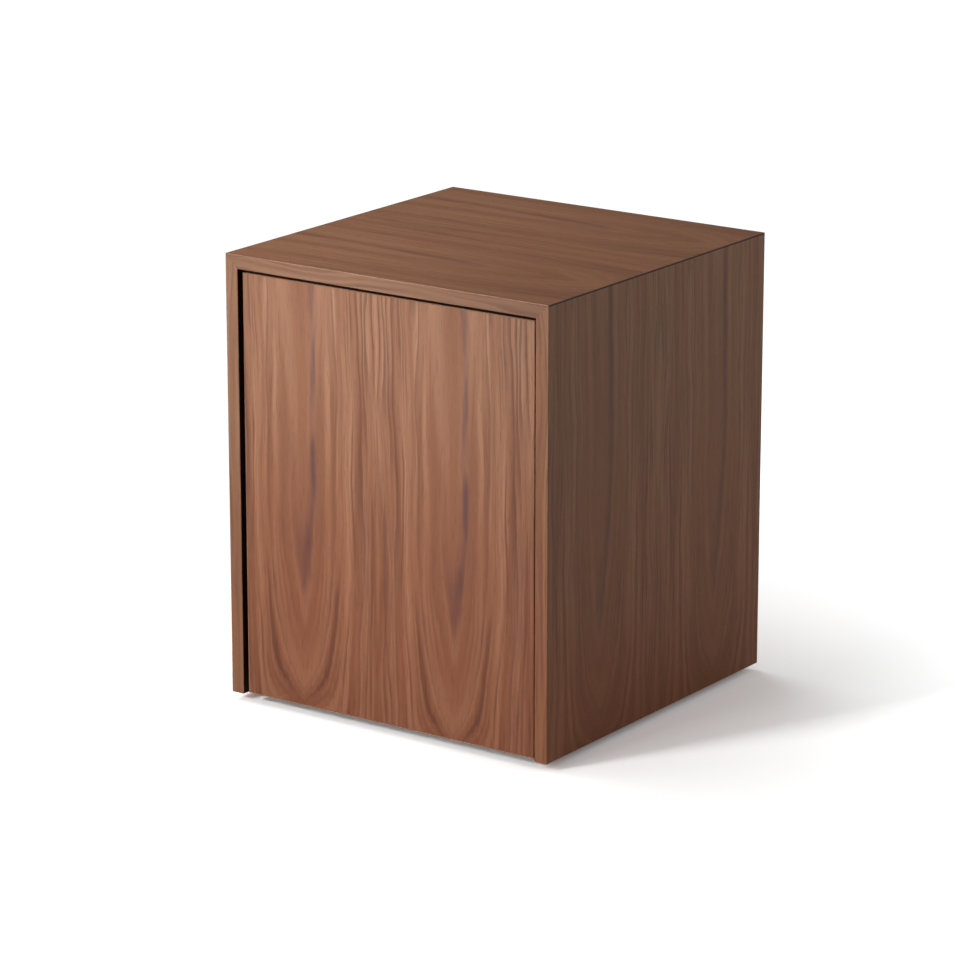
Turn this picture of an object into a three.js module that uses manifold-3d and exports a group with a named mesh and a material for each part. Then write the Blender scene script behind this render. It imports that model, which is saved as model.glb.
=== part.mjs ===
// Storage cube: a free-standing cabinet in walnut-veneered board, mitred at the
// top, with one flush door, a loose shelf and no handle.
// Millimetres, +Z up. The door faces -Y and the floor is z = 0.

import * as THREE from 'three';
import { mergeVertices } from 'three/addons/utils/BufferGeometryUtils.js';
import Module from 'manifold-3d';

const wasm = await Module();
wasm.setup();

// ---------------------------------------------------------------------------
// Driving dimensions
// ---------------------------------------------------------------------------
const WIDTH = 400;
const DEPTH = 400;
const HEIGHT = 480;

const BOARD = 15; // case and shelf board
const DOOR_BOARD = 16; // door board with its veneers
const BACK_BOARD = 6; // back panel
const EDGING = 1; // solid edging on the front edges and round the door

const FOOT_GAP = 8; // floor to the lower ends of the sides
const DOOR_LIFT = 3; // lower ends of the sides to the door's lower edge
const FINGER_GAP = 7; // open gap on the side where the door is pulled
const HINGE_GAP = 1; // gap on the hinge side
const TOP_GAP = 2.5; // gap above the door
const DOOR_STOP_GAP = 1; // back of the door to the edging behind it

const MITRE_GLUE = 0.2; // glue line in the two top mitres
const FIT = 0.1; // clearance round a fitting in its hole
const PIN_FIT = 0.05; // clearance round dowels, shelf pins and shanks

const REBATE = 7.5; // width of the rebate that takes the back panel
const REBATE_PLAY = 0.3; // back panel to the sides of its rebate

const SHELF_SIDE_PLAY = 1; // shelf end to the side panel
const SHELF_UNDERSIDE = 238; // floor to the underside of the shelf
const SHELF_SETBACK = 16; // shelf edging behind the back of the door
const SHELF_BACK_PLAY = 4; // shelf to the back panel

const HOLE_PITCH = 32; // shelf pin holes, centre to centre
const HOLES_EACH_WAY = 2; // spare holes above and below the pin
const HOLE_DEPTH = 10;
const PIN_ROW_INSET = 80; // front and rear hole rows from the case's faces
const PIN = {
  radius: 2.45,
  depth: 8,
  collar: 3.5,
  collarWidth: 0.9,
  reach: 8,
  plate: 1.5,
  width: 8,
  plateTop: 3, // upper face of the plate above the pin's centre
};

const SPLINE = { thickness: 3, width: 10, frontGap: 14, rearGap: 7, glueRoom: 0.15 };
const DOWEL = { radius: 4, length: 30, inSide: 9.5, inset: 60 };

const BEVEL = { depth: 6, width: 9 }; // relief behind the door's pulled edge

const BARREL = { radius: 5, depth: 12 }; // hinge barrels
const LINK = { inner: 7, outer: 10, halfSpan: 57, thickness: 3 };
const HINGE_INSET = 75; // hinge centre to the door's upper and lower edges

const GLIDE = { radius: 13, chamfer: 1.5, sideInset: 40, frontInset: 50, rearInset: 35 };
const GLIDE_SCREW = {
  head: 4,
  headHeight: 2.8,
  chamfer: 0.8,
  shank: 2,
  length: 20,
  headFace: 2.2, // floor to the head
  headPlay: 0.5, // round the head in the glide
};
const BACK_SCREW = { head: 3.5, rim: 0.4, shank: 1.75, length: 18, inset: 102 };
const SMALL_SCREW = { head: 2.6, rim: 0.3, shank: 1.3, length: 12 };

const CATCH = { fromSide: 50, width: 24, flange: 44, flangeHeight: 3, height: 13, depth: 12 };
const MAGNET = { width: 16, height: 6, depth: 10, drop: 5, stands: 0.9 };
const STRIKE = { width: 24, height: 10, thickness: 1.2, drop: 2 };
const BUMPER = { radius: 4, thickness: 0.9, fromSide: 30 };

const OVERCUT = 1; // how far a cutting tool runs past the face it opens

// ---------------------------------------------------------------------------
// Worked-out positions
// ---------------------------------------------------------------------------
const HALF_WIDTH = WIDTH / 2;
const INNER_X = HALF_WIDTH - BOARD; // inner face of a side panel
const FRONT = -DEPTH / 2;
const BACK = DEPTH / 2;
const BOARD_FRONT = FRONT + EDGING; // where board stops and edging starts
const CASE_BOTTOM = FOOT_GAP;
const CEILING = HEIGHT - BOARD; // underside of the top panel

const DOOR_LEFT = -INNER_X + FINGER_GAP;
const DOOR_RIGHT = INNER_X - HINGE_GAP;
const DOOR_BOTTOM = CASE_BOTTOM + DOOR_LIFT;
const DOOR_TOP = CEILING - TOP_GAP;
const DOOR_BACK = FRONT + DOOR_BOARD;

const FLOOR_UNDERSIDE = DOOR_BOTTOM; // underside of the bottom panel
const FLOOR_TOP = FLOOR_UNDERSIDE + BOARD;
const FLOOR_EDGE_FRONT = DOOR_BACK + DOOR_STOP_GAP;
const FLOOR_FRONT = FLOOR_EDGE_FRONT + EDGING;

const BACK_FACE = BACK - BACK_BOARD; // inner face of the back panel
const REBATE_X = INNER_X + REBATE;
const REBATE_TOP = CEILING + REBATE;

const AXIS_X = INNER_X - HINGE_GAP / 2; // the door turns about this upright line
const AXIS_Y = FRONT;
const HINGE_Y = FRONT + DOOR_BOARD / 2; // hinge barrels lie mid-way in the door
const HINGE_HEIGHTS = {
  upper: DOOR_TOP - HINGE_INSET,
  lower: DOOR_BOTTOM + HINGE_INSET,
};

const PIN_ROWS = { front: FRONT + PIN_ROW_INSET, rear: BACK - PIN_ROW_INSET };

// ---------------------------------------------------------------------------
// Materials
// ---------------------------------------------------------------------------
function finish(color, roughness, metalness = 0) {
  return new THREE.MeshStandardMaterial({ color, roughness, metalness });
}

const walnutVeneer = finish(0x7d5a45, 0.5);
const walnutDoor = finish(0x96694e, 0.5);
const walnutEdging = finish(0x9c7860, 0.5);
const beech = finish(0xc9a57a, 0.7);
const steel = finish(0xb9bbbd, 0.35, 1);
const zincAlloy = finish(0x8d8f92, 0.42, 1);
const ferrite = finish(0x2d2c2c, 0.6);
const brownPlastic = finish(0x3a2b22, 0.55);
const blackNylon = finish(0x1c1c1d, 0.6);
const clearGreyRubber = finish(0x6f6d68, 0.8);

// ---------------------------------------------------------------------------
// Shape helpers
// ---------------------------------------------------------------------------
const SIDES_LARGE = 48;
const SIDES_SMALL = 20;

function block(x0, x1, y0, y1, z0, z1) {
  const geometry = new THREE.BoxGeometry(x1 - x0, y1 - y0, z1 - z0);
  geometry.translate((x0 + x1) / 2, (y0 + y1) / 2, (z0 + z1) / 2);
  return geometry;
}

// A round bar along X, from x0 to x1.
function barAlongX(radius, x0, x1, y, z, sides = SIDES_SMALL) {
  const geometry = new THREE.CylinderGeometry(radius, radius, x1 - x0, sides);
  geometry.rotateZ(-Math.PI / 2);
  geometry.translate((x0 + x1) / 2, y, z);
  return geometry;
}

// A round bar along Y, from y0 to y1.
function barAlongY(radius, y0, y1, x, z, sides = SIDES_SMALL) {
  const geometry = new THREE.CylinderGeometry(radius, radius, y1 - y0, sides);
  geometry.translate(x, (y0 + y1) / 2, z);
  return geometry;
}

// A round bar along Z, from z0 to z1.
function barAlongZ(radius, z0, z1, x, y, sides = SIDES_SMALL) {
  const geometry = new THREE.CylinderGeometry(radius, radius, z1 - z0, sides);
  geometry.rotateX(Math.PI / 2);
  geometry.translate(x, y, (z0 + z1) / 2);
  return geometry;
}

function outline(points) {
  return new THREE.Shape(points.map(([a, b]) => new THREE.Vector2(a, b)));
}

// An outline drawn in X and Z, run along Y from y0 to y1.
function runAlongY(points, y0, y1) {
  const geometry = new THREE.ExtrudeGeometry(outline(points), {
    depth: y1 - y0,
    bevelEnabled: false,
  });
  geometry.rotateX(Math.PI / 2);
  geometry.translate(0, y1, 0);
  return geometry;
}

// An outline drawn in X and Y, run along Z from z0 to z1.
function runAlongZ(shape, z0, z1, curveSegments = 1) {
  const geometry = new THREE.ExtrudeGeometry(shape, {
    depth: z1 - z0,
    bevelEnabled: false,
    curveSegments,
  });
  geometry.translate(0, 0, z0);
  return geometry;
}

// A turned piece: [radius, height] pairs spun about +Z.
function turned(profile, sides = SIDES_SMALL) {
  const points = profile.map(([r, h]) => new THREE.Vector2(r, h));
  const geometry = new THREE.LatheGeometry(points, sides);
  geometry.rotateX(Math.PI / 2);
  return geometry;
}

// The part of a flat ring about the door's axis between two angles in degrees.
function ringSector(inner, outer, fromDeg, toDeg, z0, z1) {
  const from = THREE.MathUtils.degToRad(fromDeg);
  const to = THREE.MathUtils.degToRad(toDeg);
  const shape = new THREE.Shape();
  shape.absarc(0, 0, outer, from, to, false);
  shape.absarc(0, 0, inner, to, from, true);
  shape.closePath();
  const geometry = runAlongZ(shape, z0, z1, SIDES_SMALL);
  geometry.translate(AXIS_X, AXIS_Y, 0);
  return geometry;
}

function toSolid(geometry) {
  const bare = geometry.clone();
  bare.deleteAttribute('normal');
  bare.deleteAttribute('uv');
  const merged = mergeVertices(bare, 1e-4);
  const corners = [];
  for (let i = 0; i < merged.index.count; i += 3) {
    const [a, b, c] = [0, 1, 2].map((step) => merged.index.getX(i + step));
    if (a !== b && b !== c && c !== a) corners.push(a, b, c);
  }
  return new wasm.Manifold(new wasm.Mesh({
    numProp: 3,
    vertProperties: new Float32Array(merged.attributes.position.array),
    triVerts: new Uint32Array(corners),
  }));
}

function toGeometry(solid) {
  const mesh = solid.getMesh();
  const geometry = new THREE.BufferGeometry();
  geometry.setAttribute('position', new THREE.BufferAttribute(mesh.vertProperties, 3));
  geometry.setIndex(new THREE.BufferAttribute(mesh.triVerts, 1));
  return geometry;
}

function cut(geometry, tools) {
  return toGeometry(tools.reduce((left, tool) => left.subtract(toSolid(tool)), toSolid(geometry)));
}

function join(first, ...others) {
  return toGeometry(others.reduce((sum, other) => sum.add(toSolid(other)), toSolid(first)));
}

const cube = new THREE.Group();
const carcass = new THREE.Group();
const door = new THREE.Group();
cube.add(carcass, door);

function place(parent, name, geometry, material, x = 0, y = 0, z = 0) {
  const mesh = new THREE.Mesh(geometry, material);
  mesh.name = name;
  mesh.position.set(x, y, z);
  parent.add(mesh);
  return mesh;
}

// ---------------------------------------------------------------------------
// Fastenings, each drawn with its head at the origin and its point up +Z
// ---------------------------------------------------------------------------
const CROSS = { arm: 0.55, depth: 1.1, reach: 0.6 };

function crossCut(head) {
  const reach = head * CROSS.reach;
  const half = CROSS.arm / 2;
  return [
    block(-reach, reach, -half, half, -OVERCUT, CROSS.depth),
    block(-half, half, -reach, reach, -OVERCUT, CROSS.depth),
  ];
}

function countersunkScrew({ head, rim, shank, length }) {
  const body = turned([
    [0, 0],
    [head, 0],
    [head, rim],
    [shank, rim + head - shank],
    [shank, length - shank],
    [0, length],
  ]);
  return cut(body, crossCut(head));
}

// The hole that takes a countersunk screw, open above its head.
function countersunkHole({ head, rim, shank, length }) {
  const wide = head + PIN_FIT;
  const narrow = shank + PIN_FIT;
  return turned([
    [0, -OVERCUT],
    [wide, -OVERCUT],
    [wide, rim + PIN_FIT],
    [narrow, rim + PIN_FIT + head - shank],
    [narrow, length + FIT],
    [0, length + FIT],
  ]);
}

function panHeadScrew({ head, headHeight, chamfer, shank, length }) {
  const body = turned([
    [0, 0],
    [head - chamfer, 0],
    [head, chamfer],
    [head, headHeight],
    [shank, headHeight],
    [shank, length - shank],
    [0, length],
  ]);
  return cut(body, crossCut(head));
}

// Turns a fastening drawn up +Z so that its point goes along -Y.
function pointForward(geometry) {
  geometry.rotateX(Math.PI / 2);
  return geometry;
}

function at(geometry, x, y, z) {
  const moved = geometry.clone();
  moved.translate(x, y, z);
  return moved;
}

const backScrewHole = pointForward(countersunkHole(BACK_SCREW));
const strikeScrewHole = pointForward(countersunkHole(SMALL_SCREW));

const SIDE_SCREW_X = INNER_X + REBATE / 2;
const BACK_SCREWS = {
  back_screw_left_upper: [-SIDE_SCREW_X, CEILING - BACK_SCREW.inset],
  back_screw_left_lower: [-SIDE_SCREW_X, FLOOR_TOP + BACK_SCREW.inset],
  back_screw_right_upper: [SIDE_SCREW_X, CEILING - BACK_SCREW.inset],
  back_screw_right_lower: [SIDE_SCREW_X, FLOOR_TOP + BACK_SCREW.inset],
  back_screw_top: [0, CEILING + REBATE / 2],
  back_screw_bottom: [0, FLOOR_UNDERSIDE + BOARD / 2],
};
const backScrewHoles = Object.values(BACK_SCREWS).map(([x, z]) => at(backScrewHole, x, BACK, z));

// ---------------------------------------------------------------------------
// Case: two sides and a top, mitred together, round a bottom, a back and splines
// ---------------------------------------------------------------------------
const MITRE_X = HALF_WIDTH - BOARD / 2; // middle of the mitre face
const MITRE_Z = HEIGHT - BOARD / 2;

function splineShape(side, spare) {
  const halfThickness = SPLINE.thickness / 2 + spare;
  const halfWidth = SPLINE.width / 2 + spare;
  const across = [-side * Math.SQRT1_2, Math.SQRT1_2];
  const along = [side * Math.SQRT1_2, Math.SQRT1_2];
  return [[-1, -1], [1, -1], [1, 1], [-1, 1]].map(([a, b]) => [
    side * MITRE_X + a * halfThickness * across[0] + b * halfWidth * along[0],
    MITRE_Z + a * halfThickness * across[1] + b * halfWidth * along[1],
  ]);
}

function spline(side, spare) {
  const front = BOARD_FRONT + SPLINE.frontGap - spare;
  const rear = BACK_FACE - SPLINE.rearGap + spare;
  return runAlongY(splineShape(side, spare), front, rear);
}

const splineSlots = [-1, 1].map((side) => spline(side, SPLINE.glueRoom));

const rebateCut = block(-REBATE_X, REBATE_X, BACK_FACE, BACK + OVERCUT, 0, REBATE_TOP);

function sideOutline(side) {
  return [
    [side * HALF_WIDTH, CASE_BOTTOM],
    [side * INNER_X, CASE_BOTTOM],
    [side * INNER_X, CEILING - MITRE_GLUE],
    [side * HALF_WIDTH, HEIGHT - MITRE_GLUE],
  ];
}

const topOutline = [
  [-HALF_WIDTH, HEIGHT],
  [-INNER_X, CEILING],
  [INNER_X, CEILING],
  [HALF_WIDTH, HEIGHT],
];

const PIN_Z = SHELF_UNDERSIDE - PIN.plateTop; // centre of the pins that hold the shelf
const DOWEL_ROWS = {
  front: FLOOR_FRONT + DOWEL.inset,
  middle: (FLOOR_FRONT + BACK_FACE) / 2,
  rear: BACK_FACE - DOWEL.inset,
};
const DOWEL_Z = FLOOR_UNDERSIDE + BOARD / 2;

function dowelBar(side, y, spare) {
  const outer = side * (INNER_X + DOWEL.inSide + spare);
  const inner = side * (INNER_X + DOWEL.inSide - DOWEL.length - spare);
  const [x0, x1] = [outer, inner].sort((a, b) => a - b);
  return barAlongX(DOWEL.radius + spare, x0, x1, y, DOWEL_Z);
}

const dowelHoles = [-1, 1].flatMap((side) =>
  Object.values(DOWEL_ROWS).map((y) => dowelBar(side, y, PIN_FIT)));

function shelfHoles(side) {
  const wall = side * INNER_X;
  const end = side * (INNER_X + HOLE_DEPTH);
  const [x0, x1] = [wall - side * OVERCUT, end].sort((a, b) => a - b);
  const holes = [];
  for (const y of Object.values(PIN_ROWS)) {
    for (let step = -HOLES_EACH_WAY; step <= HOLES_EACH_WAY; step += 1) {
      holes.push(barAlongX(PIN.radius + PIN_FIT, x0, x1, y, PIN_Z + step * HOLE_PITCH));
    }
  }
  return holes;
}

function hingeBore(side) {
  const mouth = side > 0 ? INNER_X : DOOR_RIGHT;
  const [x0, x1] = side > 0
    ? [mouth - OVERCUT, mouth + BARREL.depth + FIT]
    : [mouth - BARREL.depth - FIT, mouth + OVERCUT];
  return Object.values(HINGE_HEIGHTS).map((z) =>
    barAlongX(BARREL.radius + FIT, x0, x1, HINGE_Y, z, SIDES_LARGE / 2));
}

const caseTools = [rebateCut, ...splineSlots, ...dowelHoles, ...backScrewHoles];

place(carcass, 'left_side_panel', cut(
  runAlongY(sideOutline(-1), BOARD_FRONT, BACK),
  [...caseTools, ...shelfHoles(-1)],
), walnutVeneer);

place(carcass, 'right_side_panel', cut(
  runAlongY(sideOutline(1), BOARD_FRONT, BACK),
  [...caseTools, ...shelfHoles(1), ...hingeBore(1)],
), walnutVeneer);

const CATCH_X = -INNER_X + CATCH.fromSide;
const CATCH_FRONT = DOOR_BACK + STRIKE.thickness + FIT + MAGNET.stands;
const CATCH_SCREW_OFFSET = (CATCH.width + CATCH.flange) / 4;
const CATCH_SCREW_Y = CATCH_FRONT + CATCH.depth / 2;
const catchScrewHole = countersunkHole(SMALL_SCREW);
const CATCH_SCREWS = {
  catch_screw_left: CATCH_X - CATCH_SCREW_OFFSET,
  catch_screw_right: CATCH_X + CATCH_SCREW_OFFSET,
};
const catchScrewHoles = Object.values(CATCH_SCREWS).map((x) =>
  at(catchScrewHole, x, CATCH_SCREW_Y, CEILING - CATCH.flangeHeight));

place(carcass, 'top_panel', cut(
  runAlongY(topOutline, BOARD_FRONT, BACK),
  [...caseTools, ...catchScrewHoles],
), walnutVeneer);

const GLIDE_SPOTS = {
  front_left: [-HALF_WIDTH + GLIDE.sideInset, FRONT + GLIDE.frontInset],
  front_right: [HALF_WIDTH - GLIDE.sideInset, FRONT + GLIDE.frontInset],
  rear_left: [-HALF_WIDTH + GLIDE.sideInset, BACK - GLIDE.rearInset],
  rear_right: [HALF_WIDTH - GLIDE.sideInset, BACK - GLIDE.rearInset],
};
const glideScrewHoles = Object.values(GLIDE_SPOTS).map(([x, y]) => barAlongZ(
  GLIDE_SCREW.shank + PIN_FIT,
  0,
  GLIDE_SCREW.headFace + GLIDE_SCREW.length + FIT,
  x,
  y,
));

place(carcass, 'bottom_panel', cut(
  block(-INNER_X, INNER_X, FLOOR_FRONT, BACK_FACE, FLOOR_UNDERSIDE, FLOOR_TOP),
  [...dowelHoles, ...backScrewHoles, ...glideScrewHoles],
), walnutVeneer);

place(carcass, 'back_panel', cut(
  block(
    -REBATE_X + REBATE_PLAY,
    REBATE_X - REBATE_PLAY,
    BACK_FACE,
    BACK,
    FLOOR_UNDERSIDE,
    REBATE_TOP - REBATE_PLAY,
  ),
  backScrewHoles,
), walnutVeneer);

place(carcass, 'mitre_spline_left', spline(-1, 0), beech);
place(carcass, 'mitre_spline_right', spline(1, 0), beech);

for (const [name, side] of [['left', -1], ['right', 1]]) {
  for (const [row, y] of Object.entries(DOWEL_ROWS)) {
    place(carcass, `bottom_dowel_${name}_${row}`, dowelBar(side, y, 0), beech);
  }
}

// Solid edging on the front of the case, mitred like the boards behind it.
place(carcass, 'left_front_edging', runAlongY(sideOutline(-1), FRONT, BOARD_FRONT), walnutEdging);
place(carcass, 'right_front_edging', runAlongY(sideOutline(1), FRONT, BOARD_FRONT), walnutEdging);
place(carcass, 'top_front_edging', runAlongY(topOutline, FRONT, BOARD_FRONT), walnutEdging);
place(
  carcass,
  'bottom_front_edging',
  block(-INNER_X, INNER_X, FLOOR_EDGE_FRONT, FLOOR_FRONT, FLOOR_UNDERSIDE, FLOOR_TOP),
  walnutEdging,
);

const backScrew = pointForward(countersunkScrew(BACK_SCREW));
for (const [name, [x, z]] of Object.entries(BACK_SCREWS)) {
  place(carcass, name, backScrew, steel, x, BACK, z);
}

// ---------------------------------------------------------------------------
// Loose shelf on four pins
// ---------------------------------------------------------------------------
const SHELF_HALF = INNER_X - SHELF_SIDE_PLAY;
const SHELF_FRONT = DOOR_BACK + SHELF_SETBACK;
const SHELF_TOP = SHELF_UNDERSIDE + BOARD;

place(carcass, 'shelf', block(
  -SHELF_HALF,
  SHELF_HALF,
  SHELF_FRONT + EDGING,
  BACK_FACE - SHELF_BACK_PLAY,
  SHELF_UNDERSIDE,
  SHELF_TOP,
), walnutVeneer);
place(carcass, 'shelf_front_edging', block(
  -SHELF_HALF,
  SHELF_HALF,
  SHELF_FRONT,
  SHELF_FRONT + EDGING,
  SHELF_UNDERSIDE,
  SHELF_TOP,
), walnutEdging);

// A pin that points +X out of the wall at x = 0. Its flat plate carries the shelf.
const shelfPin = join(
  barAlongX(PIN.radius, -PIN.depth, PIN.reach, 0, 0),
  barAlongX(PIN.collar, 0, PIN.collarWidth, 0, 0),
  block(0, PIN.reach, -PIN.width / 2, PIN.width / 2, PIN.plateTop - PIN.plate, PIN.plateTop),
);
for (const [row, y] of Object.entries(PIN_ROWS)) {
  place(carcass, `shelf_pin_left_${row}`, shelfPin, steel, -INNER_X, y, PIN_Z);
  const right = place(carcass, `shelf_pin_right_${row}`, shelfPin, steel, INNER_X, y, PIN_Z);
  right.rotation.z = Math.PI;
}

// ---------------------------------------------------------------------------
// Screw-on glides under the bottom panel, hidden by the sides
// ---------------------------------------------------------------------------
const COUNTERBORE = {
  radius: GLIDE_SCREW.head + GLIDE_SCREW.headPlay,
  depth: GLIDE_SCREW.headFace + GLIDE_SCREW.headHeight,
};
const glideBody = turned([
  [COUNTERBORE.radius, 0],
  [GLIDE.radius - GLIDE.chamfer, 0],
  [GLIDE.radius, GLIDE.chamfer],
  [GLIDE.radius, FLOOR_UNDERSIDE],
  [GLIDE_SCREW.shank + PIN_FIT, FLOOR_UNDERSIDE],
  [GLIDE_SCREW.shank + PIN_FIT, COUNTERBORE.depth],
  [COUNTERBORE.radius, COUNTERBORE.depth],
  [COUNTERBORE.radius, 0],
], SIDES_LARGE);
const glideScrew = panHeadScrew(GLIDE_SCREW);
for (const [spot, [x, y]] of Object.entries(GLIDE_SPOTS)) {
  place(carcass, `glide_${spot}`, toGeometry(toSolid(glideBody)), blackNylon, x, y, 0);
  place(carcass, `glide_screw_${spot}`, glideScrew, steel, x, y, GLIDE_SCREW.headFace);
}

// ---------------------------------------------------------------------------
// Magnetic catch under the top panel and the buffers on the bottom edging
// ---------------------------------------------------------------------------
const MAGNET_TOP = CEILING - MAGNET.drop;
const MAGNET_BOTTOM = MAGNET_TOP - MAGNET.height;
const MAGNET_FRONT = CATCH_FRONT - MAGNET.stands + FIT;

// The magnet, or its pocket when there is spare, which opens at the front.
function magnetBlock(spare) {
  return block(
    CATCH_X - MAGNET.width / 2 - spare,
    CATCH_X + MAGNET.width / 2 + spare,
    MAGNET_FRONT - (spare > 0 ? OVERCUT : 0),
    MAGNET_FRONT + MAGNET.depth + spare,
    MAGNET_BOTTOM - spare,
    MAGNET_TOP + spare,
  );
}

const catchBody = join(
  block(
    CATCH_X - CATCH.width / 2,
    CATCH_X + CATCH.width / 2,
    CATCH_FRONT,
    CATCH_FRONT + CATCH.depth,
    CEILING - CATCH.height,
    CEILING,
  ),
  block(
    CATCH_X - CATCH.flange / 2,
    CATCH_X + CATCH.flange / 2,
    CATCH_FRONT,
    CATCH_FRONT + CATCH.depth,
    CEILING - CATCH.flangeHeight,
    CEILING,
  ),
);
place(
  carcass,
  'catch_body',
  cut(catchBody, [magnetBlock(FIT), ...catchScrewHoles]),
  brownPlastic,
);
place(carcass, 'catch_magnet', magnetBlock(0), ferrite);
const smallScrew = countersunkScrew(SMALL_SCREW);
for (const [name, x] of Object.entries(CATCH_SCREWS)) {
  place(carcass, name, smallScrew, steel, x, CATCH_SCREW_Y, CEILING - CATCH.flangeHeight);
}

for (const [name, side] of [['left', -1], ['right', 1]]) {
  place(carcass, `door_bumper_${name}`, barAlongY(
    BUMPER.radius,
    FLOOR_EDGE_FRONT - BUMPER.thickness,
    FLOOR_EDGE_FRONT,
    side * (INNER_X - BUMPER.fromSide),
    FLOOR_UNDERSIDE + BOARD / 2,
  ), clearGreyRubber);
}

// ---------------------------------------------------------------------------
// Door: veneered board edged on all four sides, relieved behind its pulled edge
// ---------------------------------------------------------------------------
const CORE_LEFT = DOOR_LEFT + EDGING;
const CORE_RIGHT = DOOR_RIGHT - EDGING;
const CORE_BOTTOM = DOOR_BOTTOM + EDGING;
const CORE_TOP = DOOR_TOP - EDGING;
const BEVEL_START = DOOR_BACK - BEVEL.depth;

const doorOutline = outline([
  [CORE_LEFT, FRONT],
  [CORE_RIGHT, FRONT],
  [CORE_RIGHT, DOOR_BACK],
  [CORE_LEFT + BEVEL.width, DOOR_BACK],
  [CORE_LEFT, BEVEL_START],
]);
const STRIKE_TOP = DOOR_TOP - STRIKE.drop;
const STRIKE_BOTTOM = STRIKE_TOP - STRIKE.height;
const STRIKE_MIDDLE = (STRIKE_TOP + STRIKE_BOTTOM) / 2;
const STRIKE_FACE = DOOR_BACK + STRIKE.thickness;
const strikeHole = at(strikeScrewHole, CATCH_X, STRIKE_FACE, STRIKE_MIDDLE);

place(door, 'door_panel', cut(
  runAlongZ(doorOutline, CORE_BOTTOM, CORE_TOP),
  [...hingeBore(-1), strikeHole],
), walnutDoor);

const squareEdge = (x0, x1, z0, z1) => block(x0, x1, FRONT, DOOR_BACK, z0, z1);
const bevelTool = runAlongZ(outline([
  [DOOR_LEFT - OVERCUT, BEVEL_START],
  [CORE_LEFT, BEVEL_START],
  [CORE_LEFT + BEVEL.width, DOOR_BACK],
  [CORE_LEFT + BEVEL.width, DOOR_BACK + OVERCUT],
  [DOOR_LEFT - OVERCUT, DOOR_BACK + OVERCUT],
]), 0, HEIGHT);

place(door, 'door_edging_pull_side', block(
  DOOR_LEFT,
  CORE_LEFT,
  FRONT,
  BEVEL_START,
  DOOR_BOTTOM,
  DOOR_TOP,
), walnutEdging);
place(door, 'door_edging_hinge_side', cut(
  squareEdge(CORE_RIGHT, DOOR_RIGHT, DOOR_BOTTOM, DOOR_TOP),
  hingeBore(-1),
), walnutEdging);
place(door, 'door_edging_top', cut(
  squareEdge(CORE_LEFT, CORE_RIGHT, CORE_TOP, DOOR_TOP),
  [bevelTool],
), walnutEdging);
place(door, 'door_edging_bottom', cut(
  squareEdge(CORE_LEFT, CORE_RIGHT, DOOR_BOTTOM, CORE_BOTTOM),
  [bevelTool],
), walnutEdging);

place(door, 'catch_strike_plate', cut(
  block(
    CATCH_X - STRIKE.width / 2,
    CATCH_X + STRIKE.width / 2,
    DOOR_BACK,
    STRIKE_FACE,
    STRIKE_BOTTOM,
    STRIKE_TOP,
  ),
  [strikeHole],
), steel);
place(
  door,
  'catch_strike_screw',
  pointForward(smallScrew.clone()),
  steel,
  CATCH_X,
  STRIKE_FACE,
  STRIKE_MIDDLE,
);

// ---------------------------------------------------------------------------
// Concealed barrel hinges. A barrel in the side and one in the door each have a
// curved slot about the door's axis. A crescent link slides in both slots and
// turns half as far as the door.
// ---------------------------------------------------------------------------
const SLOT_SPARE = 0.3;
const SLOT_END_SPARE = 1.5; // degrees past the ends of the link
const MOUTH_OVERRUN = 8; // degrees by which a slot's cut leaves the barrel

const LINK_FROM = 90 - LINK.halfSpan;
const LINK_TO = 90 + LINK.halfSpan;

function slot(z, fromDeg, toDeg) {
  const half = LINK.thickness / 2 + SLOT_SPARE;
  const inner = LINK.inner - SLOT_SPARE;
  const outer = LINK.outer + SLOT_SPARE;
  return ringSector(inner, outer, fromDeg, toDeg, z - half, z + half);
}

for (const [level, z] of Object.entries(HINGE_HEIGHTS)) {
  place(carcass, `${level}_hinge_case_barrel`, cut(
    barAlongX(BARREL.radius, INNER_X, INNER_X + BARREL.depth, HINGE_Y, z, SIDES_LARGE / 2),
    [slot(z, LINK_FROM - SLOT_END_SPARE, 90 + MOUTH_OVERRUN)],
  ), zincAlloy);
  place(door, `${level}_hinge_door_barrel`, cut(
    barAlongX(BARREL.radius, DOOR_RIGHT - BARREL.depth, DOOR_RIGHT, HINGE_Y, z, SIDES_LARGE / 2),
    [slot(z, 90 - MOUTH_OVERRUN, LINK_TO + SLOT_END_SPARE)],
  ), zincAlloy);
  place(cube, `${level}_hinge_link`, ringSector(
    LINK.inner,
    LINK.outer,
    LINK_FROM,
    LINK_TO,
    z - LINK.thickness / 2,
    z + LINK.thickness / 2,
  ), zincAlloy);
}

export default cube;
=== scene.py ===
# %% [markdown]
# # Storage cube in walnut veneer
# The object is a small free-standing cabinet: two sides and a top mitred
# together, a flush door with no handle, and a loose shelf inside. The boards and
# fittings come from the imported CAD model, which is loaded first and never moved.
# Blender's work is the finish: eased arrises, moulded fittings and the timber.

import math

import bmesh
import bpy
from mathutils import Matrix, Vector


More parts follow.
